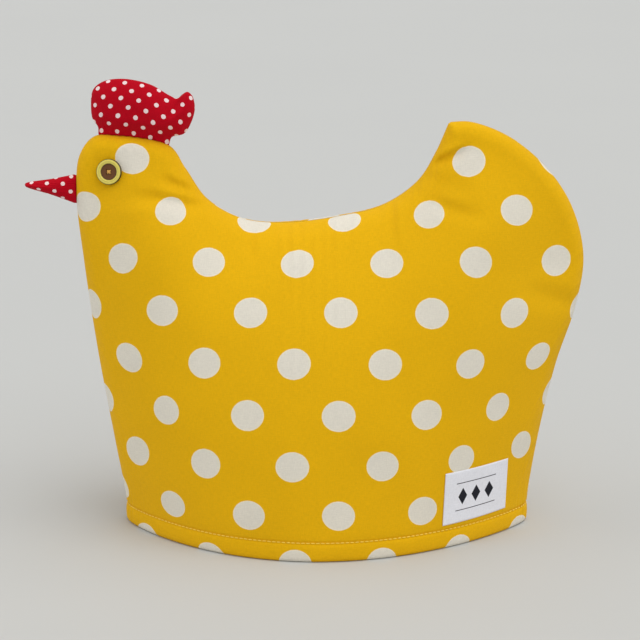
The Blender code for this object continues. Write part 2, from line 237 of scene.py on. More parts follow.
# The crossed strands: the upper pair rises in full, the lower one a little less
STRAND_RADIUS = 0.26 * MM
STRAND_RISE = 0.9 * MM
LOWER_STRAND = 0.75
STRAND_SINK = 0.9 * MM
STRAND_BEND = 0.8
STRAND_GAP = 0.46 * MM

# Cloth colours and prints. A print's dots lie in the corners and the middle of its cells
YELLOW = (0.84, 0.465, 0.004, 1)
CREAM = (0.80, 0.755, 0.655, 1)
CREAM_RIM = (0.90, 0.84, 0.66, 1)
LINING = (0.78, 0.74, 0.64, 1)
CRIMSON = (0.5, 0.001, 0.012, 1)
PIN_WHITE = (0.92, 0.74, 0.75, 1)
LABEL_WHITE = (0.835, 0.84, 0.90, 1)
LABEL_INK = (0.02, 0.02, 0.028, 1)
THREAD_YELLOW = (1.0, 0.70, 0.09, 1)
THREAD_GOLD = (0.80, 0.46, 0.12, 1)
BUTTON_LIME = (0.72, 0.585, 0.06, 1)
BUTTON_PALE = (0.82, 0.73, 0.20, 1)
BUTTON_BROWN = (0.115, 0.042, 0.008, 1)
BUTTON_CORE = (0.17, 0.065, 0.018, 1)
# Painted shade: the dark laid on a button's outer edge, in its groove and round the foot of its sunk middle
BUTTON_SHADE = (0.035, 0.02, 0.008, 1)
# Where a button's colours and its painted shade turn from one to the next, out from its middle, and how far
# that wavers
# where the painted shade at the foot of the step into a button's sunk middle begins and is fullest
MIDDLE_SHADE_TURNS = (3.9 * MM, 4.8 * MM)
MIDDLE_TURNS = (4.75 * MM, 4.95 * MM)
GROOVE_PLACE = 5.85 * MM
# where the painted shadow round a button's outer edge begins and is full
EDGE_SHADOW_TURNS = (7.05 * MM, 7.3 * MM)
RING_WOBBLE = 0.3 * MM
YELLOW_PRINT = {
    "Origin": (38.56 * MM, 129.75 * MM, 0),
    "Across": (52.44 * MM, -0.21 * MM, 0),
    "Up": (1.28 * MM, 59.65 * MM, 0),
    "Dot Size": (19.1 * MM, 17.8 * MM, 1),
}
PIN_PRINT = {
    "Origin": (0, 0, 0),
    "Across": (10.2 * MM, 0, 0),
    "Up": (0, 10.2 * MM, 0),
    "Dot Size": (2.65 * MM, 2.65 * MM, 1),
}
DOT_EDGE = (0.495, 0.512)  # the ink fades out between these shares of a dot's size
RAGGED = 0.3 * MM
# Where the cloth was eased over its stuffing, in mm: place x and z, reach, shift across and up
COMB_EASE = ((-98.0, 255.0, 45.0, -0.4, -11.0),)
EASE = (
    (159.0, 75.0, 54.0, 14.3, -6.7),
    (-97.0, 217.0, 40.0, -3.5, 1.7),
    (-93.0, 61.0, 21.0, -2.8, -2.3),
    (14.0, -29.0, 60.0, -3.8, -3.4),
    (135.0, 124.0, 56.0, -1.5, 3.0),
    (96.0, 215.0, 40.0, 3.0, 1.9),
    (118.0, -10.0, 47.0, -1.0, -6.9),
    (-88.0, -13.0, 32.0, -2.6, -7.4),
    (-102.0, 99.0, 21.0, -4.4, -0.7),
)
# The far panel was cut from another place of the printed cloth
FAR_SHIFT = (13 * MM, -8 * MM)
# The weave: its threads, how much it (with painted shade between threads) and slow fading change the
# cloth's tone, and its darkest tone
THREAD_PITCH = 0.42 * MM
THREAD_RISE = 0.12 * MM
WEAVE_CONTRAST = 0.32
FADING = 0.1
DARKEST = 0.74
SLUBS = ((1500, 330, 0), (330, 1500, 0))  # how the noise of thick threads is stretched, both ways

# Floor and light
FLOOR_SIZE = 40
FLOOR_TONE = (0.56, 0.566, 0.556, 1)
SKY_TONE = (0.96, 0.98, 1.0, 1)
SKY_STRENGTH = 0.4
LAMP_TONE = (1, 0.985, 0.96)
LAMPS = (  # name, the side it shines from, its spread in degrees and its strength
    ("lamp_over_right", (0.5, 0.0, 1.0), 60, 0.86),
    ("lamp_right_front", (0.5, -0.5, 1.0), 60, 0.98),
    ("lamp_front", (0.0, -1.0, 0.5), 80, 0.3),
    ("lamp_left", (-1.0, 0.0, 0.5), 70, 0.86),
    ("lamp_behind", (0.0, 0.9, 0.5), 70, 0.28),
)

# Camera
CAMERA_DISTANCE = 1300 * MM
CAMERA_RISE = 15
CAMERA_AIM = (8.7 * MM, 0, 126.2 * MM)
CAMERA_LENS = 121.9
SENSOR = 36


def curve_through(points_mm):
    """A smooth line through the points, in metres: a Catmull-Rom curve paced by the root of length."""
    p = np.array(points_mm) * MM
    p = np.vstack([2 * p[0] - p[1], p, 2 * p[-1] - p[-2]])
    line = []
    for a, b, c, d in zip(p, p[1:], p[2:], p[3:]):
        t1 = math.sqrt(math.dist(a, b))
        t2 = t1 + math.sqrt(math.dist(b, c))
        t3 = t2 + math.sqrt(math.dist(c, d))
        for t in np.linspace(t1, t2, CURVE_STEPS, endpoint=False):
            ab = ((t1 - t) * a + t * b) / t1
            bc = ((t2 - t) * b + (t - t1) * c) / (t2 - t1)
            cd = ((t3 - t) * c + (t - t2) * d) / (t3 - t2)
            abc = ((t2 - t) * ab + t * bc) / t2
            bcd = ((t3 - t) * bc + (t - t1) * cd) / (t3 - t1)
            line.append(((t2 - t) * abc + (t - t1) * bcd) / (t2 - t1))
    return np.array(line + [p[-2]])


def lengths(line):
    return np.concatenate([[0], np.cumsum(np.linalg.norm(np.diff(line, axis=0), axis=1))])


def read_at(places, along, values):
    """Values that are given along a line, read at other places along it."""
    return np.stack([np.interp(places, along, column) for column in values.T], axis=-1)


def distance_to(line, x, z):
    best = np.full(np.shape(x), np.inf)
    for (ax, az), (bx, bz) in zip(line, line[1:]):
        dx, dz = bx - ax, bz - az
        t = np.clip(((x - ax) * dx + (z - az) * dz) / (dx * dx + dz * dz), 0, 1)
        best = np.minimum(best, np.hypot(x - ax - t * dx, z - az - t * dz))
    return best


def rolled(distance, radius, fullness=0.5):
    """The rise of a rolled edge, from 0 on the edge to 1 at the radius: round at 0.5, keener above it."""
    t = np.clip(distance / radius, 0, 1)
    return (1 - (1 - t) ** 2) ** fullness


def smooth(value):
    t = np.clip(value, 0, 1)
    return t * t * (3 - 2 * t)


SEAM = np.vstack([curve_through(FRONT_SEAM)[:-1], curve_through(TAIL_SEAM)])
BREAST_END = int(np.argmin(SEAM[:, 0]))
TAIL_END = int(np.argmax(SEAM[:, 0]))
RIDGE = SEAM[BREAST_END : TAIL_END + 1 : 2]


def on_lines(table, x, z):
    """The height of each line of a table, and how many of its lengths and widths away the points lie."""
    for middle_x, middle_z, length, width, height, turn in table:
        dx, dz = x - middle_x * MM, z - middle_z * MM
        cos, sin = math.cos(math.radians(turn)), math.sin(math.radians(turn))
        along, across = dx * cos + dz * sin, dz * cos - dx * sin
        yield height * MM, along / (length * MM), across / (width * MM)


def furrows(table, x, z):
    """How far the soft furrows of a table draw the outer cloth in."""
    drawn = np.zeros(np.shape(x))
    for depth, along, across in on_lines(table, x, z):
        drawn += depth * np.exp(-((2 * across) ** 2) - (2 * along) ** 4)
    return drawn


def tucked(table, x, z):
    """How far the tucks of a table lift the outer cloth above their lines, and lower it below them."""
    lifted = np.zeros(np.shape(x))
    for height, along, across in on_lines(table, x, z):
        lifted += height * across * np.exp(0.5 - across**2 / 2 - (2 * along) ** 4)
    return lifted


def dimple(x, z):
    """How far the stitches of an eye button draw the cloth in round it."""
    away = np.hypot(x - BUTTON_PLACE[0], z - BUTTON_PLACE[1])
    return DIMPLE_DEPTH * np.exp(-((away / DIMPLE_REACH) ** 2))


def below_ridge(x, z):
    """How far a point lies below the seam over the back, evened out so that no line shows in the cloth."""
    spacing = np.linalg.norm(np.diff(RIDGE, axis=0), axis=1).mean()
    drop = np.clip(RIDGE[:, 1] - z[..., None], 0, None)
    drop = drop + RIDGE_STEEPNESS * np.abs(x[..., None] - RIDGE[:, 0])
    share = np.exp(-drop / RIDGE_SOFTNESS).sum(axis=-1) * RIDGE_STEEPNESS * spacing / (2 * RIDGE_SOFTNESS)
    return np.clip(-RIDGE_SOFTNESS * np.log(share), 0, None)


def half_depth(x, z):
    """How far the outer cloth stands from the seam's plane over a point x, z of that plane."""
    breast, tail = SEAM[: BREAST_END + 1], SEAM[TAIL_END:][::-1]
    left = np.interp(z, breast[:, 1], breast[:, 0])
    right = np.interp(z, tail[:, 1], tail[:, 0])
    across = np.clip(2 * (x - left) / (right - left) - 1, -1, 1)
    across = across + BELLY_SHIFT * (1 - across**2)
    power = np.interp(z, [0, HEAD_HEIGHT], BELLY_POWER)
    depth = DEPTH_AT_HEM - DEPTH_TAPER * z
    depth = depth - DEPTH_LOST_AT_HEAD * (np.clip(z, 0, None) / HEAD_HEIGHT) ** HEAD_POWER
    parting = 1 - np.exp(-below_ridge(x, z) / RIDGE_LENGTH)
    belly = depth * (1 - np.abs(across) ** power) ** BELLY_ROUND * parting
    full_round = np.clip(z / ROUND_FULL_HEIGHT, 0, 1)
    radius = EDGE_ROUND * (EDGE_ROUND_AT_HEM + (1 - EDGE_ROUND_AT_HEM) * full_round)
    roll = rolled(distance_to(SEAM, x, z), radius)
    return radius * roll + belly - roll * furrows(TROUGHS, x, z)


def slope(x, z):
    along_x = (half_depth(x + SAMPLE, z) - half_depth(x - SAMPLE, z)) / (2 * SAMPLE)
    along_z = (half_depth(x, z + SAMPLE) - half_depth(x, z - SAMPLE)) / (2 * SAMPLE)
    return along_x, along_z


def lean_of(x, z):
    """How much farther a layer of the leaning cloth reaches along the depth than its thickness."""
    along_x, along_z = slope(x, z)
    return np.sqrt(1 + along_x**2 + along_z**2)


def inward(line, reach):
    """The direction into the piece at each point of an edge line, averaged over a reach on both sides."""
    along = lengths(line)
    sides = []
    for k, s in enumerate(along):
        near = np.flatnonzero(np.abs(along - s) <= reach)
        first = min(near[0], max(k - 1, 0))
        last = max(near[-1], min(k + 1, len(line) - 1))
        dx, dz = line[last] - line[first]
        sides.append((dz, -dx))
    sides = np.array(sides)
    return sides / np.linalg.norm(sides, axis=1)[:, None]


def ways_in(edge, along):
    """The direction into the piece at places along its edge."""
    return read_at(along, lengths(edge), inward(edge, SEAM_AVERAGE))


def fan(edge, base, up, columns, rows, lead):
    """A grid of points over a piece: its columns leave the edge squarely and bend down to the base line."""
    along = lengths(edge)
    across = np.concatenate([[0], np.cumsum(np.abs(np.diff(edge @ np.array([up[1], -up[0]]))))])
    share = along / along[-1] + across / across[-1]
    base_along = lengths(base) / lengths(base)[-1]
    directions = inward(edge, lead)
    crowded = np.linspace(0, 1, rows) ** ROW_CROWDING
    grid = []
    for s in np.linspace(0, along[-1], columns):
        start, side = read_at(s, along, edge), read_at(s, along, directions)
        end = read_at(np.interp(s, along, share) / share[-1], base_along, base)
        long = math.dist(start, end)
        bend = start + side * min(lead, long / 4)
        arrive = end + np.array(up) * long / 3
        warped = smooth(long / SHORT_COLUMN)
        w = warped * crowded + (1 - warped) * np.linspace(0, 1, rows)
        weights = np.stack([(1 - w) ** 3, 3 * (1 - w) ** 2 * w, 3 * (1 - w) * w**2, w**3], axis=-1)
        grid.append(weights @ np.array([start, bend, arrive, end]))
    return np.array(grid)


def lumps(x, z, seed):
    """The unevenness of the wadding."""
    raised = np.zeros(x.shape)
    for size, height in LUMPS:
        for at in np.ndindex(x.shape):
            raised[at] += height * noise.noise(Vector((x[at] / size, z[at] / size, seed)))
    return raised


def puckers(along, distance):
    """The small gathers that a seam's stitches pull, by the place along the seam and the distance to it."""
    (sway, sway_length), (unequal, unequal_length) = PUCKER_SWAY, PUCKER_UNEVEN
    turn = 2 * math.pi * along / PUCKER_LENGTH
    wave = np.sin(turn + sway * np.sin(turn / sway_length))
    uneven = 1 - unequal + unequal * np.sin(turn / unequal_length + 1)
    fading = smooth(distance / PUCKER_START) * np.exp(-distance / PUCKER_REACH)
    return PUCKER_DEPTH * wave * uneven * fading


def wadding(x, z, tucks, seed):
    """How far the wadding and the fine tucks lift the cloth above the panel's plain shape."""
    return (lumps(x, z, seed) + tucked(tucks, x, z)) * smooth(z / HEM_TOP) - dimple(x, z)


def deselect():
    for other in list(bpy.context.selected_objects):
        other.select_set(False)


def make_active(piece):
    deselect()
    piece.select_set(True)
    bpy.context.view_layer.objects.active = piece


def lay_flat(points):
    """The flat pattern of a cloth whose points lie in a grid: Blender's own unwrapping, at true size."""
    columns, rows = points.shape[:2]
    ci = np.unique(np.linspace(0, columns - 1, PATTERN_CELLS[0]).round().astype(int))
    cj = np.unique(np.linspace(0, rows - 1, PATTERN_CELLS[1]).round().astype(int))
    coarse = points[np.ix_(ci, cj)]
    deselect()
    bpy.ops.mesh.primitive_grid_add(x_subdivisions=len(ci) - 1, y_subdivisions=len(cj) - 1, size=1)
    cloth = bpy.context.object
    place = np.zeros((len(cloth.data.vertices), 2), int)
    for vert in cloth.data.vertices:
        i = round((vert.co.x + 0.5) * (len(ci) - 1))
        j = round((vert.co.y + 0.5) * (len(cj) - 1))
        place[vert.index] = i, j
        vert.co = coarse[i, j]
    bpy.ops.object.mode_set(mode="EDIT")
    bpy.ops.mesh.select_all(action="SELECT")
    bpy.ops.uv.unwrap(method="MINIMUM_STRETCH", iterations=PATTERN_ROUNDS, margin=0)
    bpy.ops.object.mode_set(mode="OBJECT")
    uv = np.zeros(2 * len(cloth.data.loops))
    cloth.data.uv_layers.active.data.foreach_get("uv", uv)
    corners = np.zeros(len(cloth.data.loops), int)
    cloth.data.loops.foreach_get("vertex_index", corners)
    flat = np.zeros((len(ci), len(cj), 2))
    flat[place[corners, 0], place[corners, 1]] = uv.reshape(-1, 2)
    bpy.data.objects.remove(cloth)
    real = np.linalg.norm(np.diff(coarse, axis=0), axis=-1).sum()
    flat *= real / np.linalg.norm(np.diff(flat, axis=0), axis=-1).sum()
    front = coarse[..., [0, 2]].reshape(-1, 2)
    middle = flat.reshape(-1, 2).mean(axis=0)
    left, _, right = np.linalg.svd((flat.reshape(-1, 2) - middle).T @ (front - front.mean(axis=0)))
    flat = (flat - middle) @ (left @ right)
    wide = np.empty((columns, len(cj), 2))
    for n, j in enumerate(cj):
        s = lengths(points[:, j])
        s = s if s[-1] > 0 else np.arange(columns)
        wide[:, n] = read_at(s, s[ci], flat[:, n])
    full = np.empty((columns, rows, 2))
    for i in range(columns):
        s = lengths(points[i])
        s = s if s[-1] > 0 else np.arange(rows)
        full[i] = read_at(s, s[cj], wide[i])
    return full


def eased(pattern, grid, table):
    """The flat pattern with the cloth's print shifted where the sewer eased it over the wadding."""
    moved = pattern.copy()
    for middle_x, middle_z, reach, across, up in table:
        away = np.hypot(grid[..., 0] - middle_x * MM, grid[..., 1] - middle_z * MM)
        moved += np.exp(-((away / (reach * MM)) ** 2))[..., None] * np.array((across, up)) * MM
    return moved


def cloth_body(name, grid, front, back, flat, finishes, lining_above=None):
    """A closed piece between two cloth layers over one grid of points, both with the print's map."""
    columns, rows = grid.shape[:2]
    bm = bmesh.new()
    print_uv = bm.loops.layers.uv.new("cloth")
    layers = []
    for level in (0, 1):
        place = Matrix.Translation((0, 0, level))
        cells = {"x_segments": columns - 1, "y_segments": rows - 1}
        layers.append(bmesh.ops.create_grid(bm, size=0.5, matrix=place, **cells)["verts"])
    bmesh.ops.bridge_loops(bm, edges=[edge for edge in bm.edges if edge.is_boundary])
    printed = {}
    for level, verts in enumerate(layers):
        depth = back if level else front
        for vert in verts:
            i = round((vert.co.x + 0.5) * (columns - 1))
            j = round((vert.co.y + 0.5) * (rows - 1))
            printed[vert] = (*flat[i, j], level)
            vert.co = (grid[i, j, 0], depth[i, j], grid[i, j, 1])
    for face in bm.faces:
        face.smooth = True
        if lining_above is not None and all(printed[vert][2] for vert in face.verts):
            face.material_index = int(face.calc_center_median().z > lining_above)
        for loop in face.loops:
            loop[print_uv].uv = printed[loop.vert][:2]
    bmesh.ops.remove_doubles(bm, verts=bm.verts, dist=WELD)
    bmesh.ops.dissolve_degenerate(bm, edges=bm.edges, dist=WELD)
    bmesh.ops.recalc_face_normals(bm, faces=bm.faces)
    mesh = bpy.data.meshes.new(name)
    bm.to_mesh(mesh)
    bm.free()
    return finished(name, mesh, finishes)


def finished(name, mesh, finishes):
    for finish in finishes:
        mesh.materials.append(finish)
    piece = bpy.data.objects.new(name, mesh)
    bpy.context.scene.collection.objects.link(piece)
    return piece


def evened(grid):
    """The grid with its inner columns drawn between their neighbours, near the seam only along the rows."""
    hold = np.linspace(0, 1, grid.shape[1])[None, :, None]
    free = smooth((hold - EVENING_FREE[0]) / (EVENING_FREE[1] - EVENING_FREE[0]))
    for _ in range(EVENING_ROUNDS):
        pull = (grid[:-2] + grid[2:]) / 2 - grid[1:-1]
        row = grid[2:] - grid[:-2]
        row = row / np.maximum(np.linalg.norm(row, axis=-1, keepdims=True), WELD)
        slide = (pull * row).sum(axis=-1, keepdims=True) * row
        grid[1:-1] += (slide + (pull - slide) * free) * 0.5 * smooth(hold / EVENING_START)
    return grid


def hem_relief(z):
    """How far the turned hem stands out at a height: its groove, its puffed band and its rounded fold."""
    groove = GROOVE_DEPTH * np.exp(-(((z - STITCH_HEIGHT) / GROOVE_WIDTH) ** 2))
    puff = HEM_PUFF * np.sin(math.pi * np.clip(z / STITCH_HEIGHT, 0, 1)) ** 2
    return puff - groove - hem_fold(z)


def hem_fold(z):
    low = np.clip(1 - z / HEM_ROUND, 0, 1)
    return HEM_ROUND * (1 - np.sqrt(1 - low**2))


def panel_grid():
    """The points of a panel in the seam's plane, each column's place along the seam and its way inward."""
    heights = np.array(HEM_HEIGHTS) * MM
    above_hem = np.flatnonzero(SEAM[:, 1] >= heights[0] - WELD)
    edge = SEAM[above_hem[0] : above_hem[-1] + 1]
    base = np.array([edge[0], edge[-1]])
    upper = evened(fan(edge, base, (0, 1), PANEL_COLUMNS, PANEL_ROWS, SEAM_LEAD))
    low_x = np.repeat(upper[:, -1:, 0], len(heights), axis=1)
    low_z = np.repeat(heights[None], len(upper), axis=0)
    grid = np.concatenate([upper[:, :-1], np.stack([low_x, low_z], axis=-1)], axis=1)
    along = np.linspace(0, lengths(edge)[-1], PANEL_COLUMNS)
    return grid, along, ways_in(edge, along)


def panel_cloth(tucks, seed):
    """A panel's outer cloth and lining: their grid, and how far each stands from the seam's plane."""
    grid, along, way = panel_grid()
    x, z = grid[..., 0], grid[..., 1]
    depth, lean = half_depth(x, z), lean_of(x, z)
    from_seam = distance_to(SEAM, x, z)
    inner_share = smooth(from_seam / EDGE_ROUND)
    hem = hem_relief(z) * (z <= HEM_TOP)
    relief = hem * inner_share + puckers(along[:, None], from_seam)
    relief = relief + wadding(x, z, tucks, seed) * smooth(from_seam / WADDING_START)
    outer = SEAM_GAP / 2 + np.maximum(depth + relief * lean, 0)
    inner = SEAM_GAP / 2 + np.maximum(depth - (WALL - hem_fold(z)) * lean, 0)
    edges = np.zeros(x.shape, bool)
    edges[:, 0] = edges[0] = edges[-1] = True
    outer[edges] = inner[edges] = SEAM_GAP / 2
    sunk = SEAM_SINK * (1 - smooth((outer - SEAM_GAP / 2) / SEAM_SINK_REACH))
    spread = sunk - hem * (1 - inner_share)
    grid = grid + way[:, None] * spread[..., None]
    return grid, outer, inner


def thread(name, points, outward, finish):
    """A row of short stitches along a line, made as one mesh."""
    s = lengths(points)
    count = int((s[-1] - STITCH_PITCH) / STITCH_PITCH)
    middles = np.linspace(STITCH_PITCH, s[-1] - STITCH_PITCH, count)
    deselect()
    bpy.ops.mesh.primitive_uv_sphere_add(segments=8, ring_count=6, radius=1)
    seed = bpy.context.object
    ball = np.array([vert.co for vert in seed.data.vertices])
    faces = [tuple(face.vertices) for face in seed.data.polygons]
    bpy.data.objects.remove(seed)
    ball[:, 0] = np.sign(ball[:, 0]) * np.sqrt(np.abs(ball[:, 0]))
    verts, polygons = [], []
    for k, middle in enumerate(middles):
        at, out = read_at(middle, s, points), read_at(middle, s, outward)
        ahead = read_at(middle + SAMPLE, s, points) - at
        ahead /= np.linalg.norm(ahead)
        side = np.cross(out, ahead)
        side /= np.linalg.norm(side)
        out = np.cross(ahead, side)
        tilt = STITCH_TILT * math.sin(STITCH_TILT_STEP * k)
        axes = np.array([ahead + tilt * side, side - tilt * ahead, out])
        size = (STITCH_LENGTH / 2, THREAD_RADIUS, THREAD_RADIUS)
        polygons += [tuple(v + len(ball) * k for v in face) for face in faces]
        verts.append(ball * size @ axes + at + out * THREAD_RADIUS)
    mesh = bpy.data.meshes.new(name)
    mesh.from_pydata(np.concatenate(verts), [], polygons)
    mesh.shade_smooth()
    piece = finished(name, mesh, [finish])
    make_active(piece)
    bpy.ops.object.mode_set(mode="EDIT")
    bpy.ops.mesh.select_all(action="SELECT")
    bpy.ops.mesh.normals_make_consistent(inside=False)
    bpy.ops.object.mode_set(mode="OBJECT")
    return piece


def hem_stitches(name, side, grid, outer, finish):
    row = np.abs(grid[0, :, 1] - STITCH_HEIGHT).argmin()
    x, z = grid[:, row, 0], grid[:, row, 1]
    points = np.stack([x, side * outer[:, row], z], axis=-1)
    along_x, along_z = slope(x, z)
    outward = np.stack([-along_x, np.full(x.shape, float(side)), -along_z], axis=-1)
    outward /= np.linalg.norm(outward, axis=1)[:, None]
    return thread(name, points, outward, finish)


def seam_between(first_mm, last_mm):
    """The stretch of seam between the points nearest to two given ones, just outside it."""
    ends = [np.hypot(*(SEAM - np.array(point) * MM).T).argmin() for point in (first_mm, last_mm)]
    stretch = SEAM[min(ends) : max(ends) + 1]
    outside = stretch - inward(stretch, SAMPLE) * SEAM_GAP
    return outside if ends[0] < ends[1] else outside[::-1]


def stuffed(name, edge_mm, up, thick, radius, finish, gathers, folds, cut, ease):
    """A small stuffed piece of two cloths sewn edge to edge, thin where it is caught in the seam."""
    base = seam_between(edge_mm[0], edge_mm[-1])
    edge = curve_through(edge_mm)
    edge[0], edge[-1] = base[0], base[-1]
    grid = fan(edge, base, up, STUFFED_COLUMNS, STUFFED_ROWS, radius / 3)
    x, z = grid[..., 0], grid[..., 1]
    from_edge, from_base = distance_to(edge, x, z), distance_to(base, x, z)
    swell = smooth(from_base / PINCH_LENGTH)
    full = PINCH_THICK + (thick - PINCH_THICK) * swell
    along = np.linspace(0, lengths(edge)[-1], STUFFED_COLUMNS)
    level = x * up[1] - z * up[0]
    gather = gathers * np.sin(level / GATHER_PITCH * 2 * math.pi) * np.exp(-from_base / GATHER_REACH)
    relief = STUFFED_PUCKERS * puckers(along[:, None], from_edge) + lumps(x, z, STUFFED_SEED)
    relief = relief + gather - furrows(folds, x, z)
    body = rolled(from_edge, radius, STUFFED_KEENNESS)
    depth = np.maximum(0.5 * full * body + relief * smooth(from_edge / STUFFED_START), THINNEST * body)
    depth[:, 0] = depth[0] = depth[-1] = 0
    sunk = 0.5 * SEAM_SINK * (1 - smooth(depth / SEAM_SINK_REACH))
    way = ways_in(edge, along)
    grid = grid + way[:, None] * sunk[..., None] * smooth(from_base / PINCH_THICK)[..., None]
    points = np.stack([grid[..., 0], -depth, grid[..., 1]], axis=-1)
    turn, shift, scale = math.radians(cut[0]), np.array(cut[1:3]) * MM, cut[3]
    turned = scale * np.array([[math.cos(turn), math.sin(turn)], [-math.sin(turn), math.cos(turn)]])
    pattern = eased(lay_flat(points), grid, ease) @ turned + shift
    return cloth_body(name, grid, -depth, depth, pattern, [finish])


def label_cloth(finish):
    """The label: a small sheet of cotton with its edges pressed under, lying on the near panel."""
    columns, rows = LABEL_CELLS
    s, t = np.meshgrid(np.linspace(0, 1, columns), np.linspace(0, 1, rows), indexing="ij")
    low_left, low_right, top_left, top_right = (np.array(corner) * MM for corner in LABEL_CORNERS)
    low = low_left + (low_right - low_left) * s[..., None]
    top = top_left + (top_right - top_left) * s[..., None]
    grid = low + (top - low) * t[..., None]
    x, z = grid[..., 0], grid[..., 1]
    ripple = np.full(x.shape, LABEL_RIPPLE)
    for at in np.ndindex(x.shape):
        spot = Vector((x[at], z[at], LABEL_RIPPLE_SIZE)) / LABEL_RIPPLE_SIZE
        ripple[at] += LABEL_RIPPLE * noise.noise(spot)
    from_edge = np.minimum(np.minimum(s, 1 - s) * LABEL_SIZE[0], np.minimum(t, 1 - t) * LABEL_SIZE[1])
    pressed = LABEL_THICK * (LABEL_EDGE + (1 - LABEL_EDGE) * rolled(from_edge, LABEL_THICK))
    under, lean = wadding(x, z, TUCKS, NEAR_SEED), lean_of(x, z)
    back = half_depth(x, z) + SEAM_GAP / 2 + (under + LABEL_LIFT + ripple) * lean
    flat = np.stack([(s - 0.5) * LABEL_SIZE[0], (t - 0.5) * LABEL_SIZE[1]], axis=-1)
    return cloth_body("label_cloth", grid, -(back + pressed * lean), -back, flat, [finish])


def button_seat():
    """The middle of a near button's back and its outward direction, lying on the cloth's highest points."""
    turns = np.linspace(0, 2 * math.pi, SEAT_TURNS, endpoint=False)
    out = BUTTON_RADIUS * np.array(SEAT_RINGS)[:, None]
    x = (BUTTON_PLACE[0] + out * np.cos(turns)).ravel()
    z = (BUTTON_PLACE[1] + out * np.sin(turns)).ravel()
    depth = half_depth(x, z) + SEAM_GAP / 2 - dimple(x, z) * lean_of(x, z)
    plane = np.stack([x - BUTTON_PLACE[0], z - BUTTON_PLACE[1], np.ones(len(x))], axis=-1)
    (a, b, c), *_ = np.linalg.lstsq(plane, depth, rcond=None)
    normal = Vector((-a, -1, -b)).normalized()
    above = (depth - plane @ [a, b, c]).max() * abs(normal.y) + BUTTON_SEAT
    return Vector((BUTTON_PLACE[0], -c, BUTTON_PLACE[1])) + normal * above, normal


def button_placement(side):
    middle, normal = button_seat()
    if side > 0:
        middle.y, normal.y = -middle.y, -normal.y
    return Matrix.Translation(middle) @ normal.to_track_quat("Z", "Y").to_matrix().to_4x4()


def select_faces(piece, wanted):
    shown = bmesh.from_edit_mesh(piece.data)
    for face in shown.faces:
        face.select_set(wanted(face))
    bmesh.update_edit_mesh(piece.data)


def apply_modifier(piece, kind, **settings):
    make_active(piece)
    made = piece.modifiers.new(kind.lower(), kind)
    for setting, value in settings.items():
        setattr(made, setting, value)
    bpy.ops.object.modifier_apply(modifier=made.name)


def button(name, side, finish):
    """A turned four-hole button with a grooved rim and a dished middle."""
    deselect()
    bpy.ops.mesh.primitive_cylinder_add(vertices=BUTTON_SIDES, radius=BUTTON_RADIUS, depth=BUTTON_BODY)
    piece = bpy.context.object
    piece.name = name
    bpy.ops.object.mode_set(mode="EDIT")
    bpy.ops.mesh.select_mode(type="FACE")
    bpy.ops.mesh.select_all(action="SELECT")
    bpy.ops.transform.translate(value=(0, 0, BUTTON_BODY / 2))
    select_faces(piece, lambda face: face.normal.z > 0.9)
    for width, rise in BUTTON_RINGS:
        bpy.ops.mesh.inset(thickness=width, depth=rise)
    select_faces(piece, lambda face: face.normal.z < -0.9)
    bpy.ops.mesh.inset(thickness=BUTTON_BACK[0], depth=BUTTON_BACK[1])
    bpy.ops.mesh.select_mode(type="VERT")
    bpy.ops.object.mode_set(mode="OBJECT")
    apply_modifier(piece, "BEVEL", width=BUTTON_BEVEL, segments=2, limit_method="ANGLE", angle_limit=0.4)
    for across, up in ((1, 1), (1, -1), (-1, 1), (-1, -1)):
        deselect()
        place = (across * HOLE_PITCH / 2, up * HOLE_PITCH / 2, 0)
        sizes = {"vertices": HOLE_SIDES, "radius": HOLE_RADIUS, "depth": DRILL}
        bpy.ops.mesh.primitive_cylinder_add(location=place, **sizes)
        drill = bpy.context.object
        apply_modifier(piece, "BOOLEAN", operation="DIFFERENCE", solver="EXACT", object=drill)
        bpy.data.objects.remove(drill)
    bpy.ops.object.shade_smooth_by_angle(angle=math.radians(BUTTON_SMOOTHING))
    layer = piece.data.uv_layers.active
    layer.name = "turned"
    for loop in piece.data.loops:
        layer.data[loop.index].uv = piece.data.vertices[loop.vertex_index].co.xy
    piece.data.transform(button_placement(side))
    piece.data.materials.clear()
    piece.data.materials.append(finish)
    return piece


def button_thread(name, side, finish):
    """The crossed strands that sew a button on, from hole to opposite hole."""
    top = BUTTON_BODY + sum(rise for _, rise in BUTTON_RINGS)
    reach = HOLE_PITCH / 2 * math.sqrt(2)
    strands = []
    for turn, gap in ((45, -0.5), (45, 0.5), (-45, -0.5), (-45, 0.5)):
        deselect()
        bpy.ops.curve.primitive_bezier_curve_add()
        strand = bpy.context.object
        strand.data.bevel_depth = STRAND_RADIUS
        strand.data.bevel_resolution = 3
        strand.data.use_fill_caps = True
        rise = STRAND_RISE if turn > 0 else LOWER_STRAND * STRAND_RISE
        for point, end in zip(strand.data.splines[0].bezier_points, (-1, 1)):
            point.handle_left_type = point.handle_right_type = "FREE"
            point.co = (end * reach, gap * STRAND_GAP, top - STRAND_SINK)
            over = (end * STRAND_BEND * reach, gap * STRAND_GAP, top + rise)
            point.handle_left = over if end > 0 else point.co
            point.handle_right = over if end < 0 else point.co
        bpy.ops.object.convert(target="MESH")
        strand = bpy.context.object
        strand.data.transform(Matrix.Rotation(math.radians(turn), 4, "Z"))
        strands.append(strand)
    deselect()
    for strand in strands:
        strand.select_set(True)
    bpy.context.view_layer.objects.active = strands[0]
    bpy.ops.object.join()
    piece = bpy.context.object
    piece.name = name
    bpy.ops.object.transform_apply(location=True, rotation=True, scale=True)
    piece.data.transform(button_placement(side))
    piece.data.shade_smooth()
    piece.data.materials.clear()
    piece.data.materials.append(finish)
    return piece


def node(tree, kind, inputs=None, **settings):
    """A node with its settings, its inputs given a value or joined to another node's output."""
    made = tree.nodes.new(f"ShaderNode{kind}")
    for setting, value in settings.items():
        setattr(made, setting, value)
    for place, value in (inputs or {}).items():
        if isinstance(value, bpy.types.NodeSocket):
            tree.links.new(value, made.inputs[place])
        else:
            made.inputs[place].default_value = value
    return made


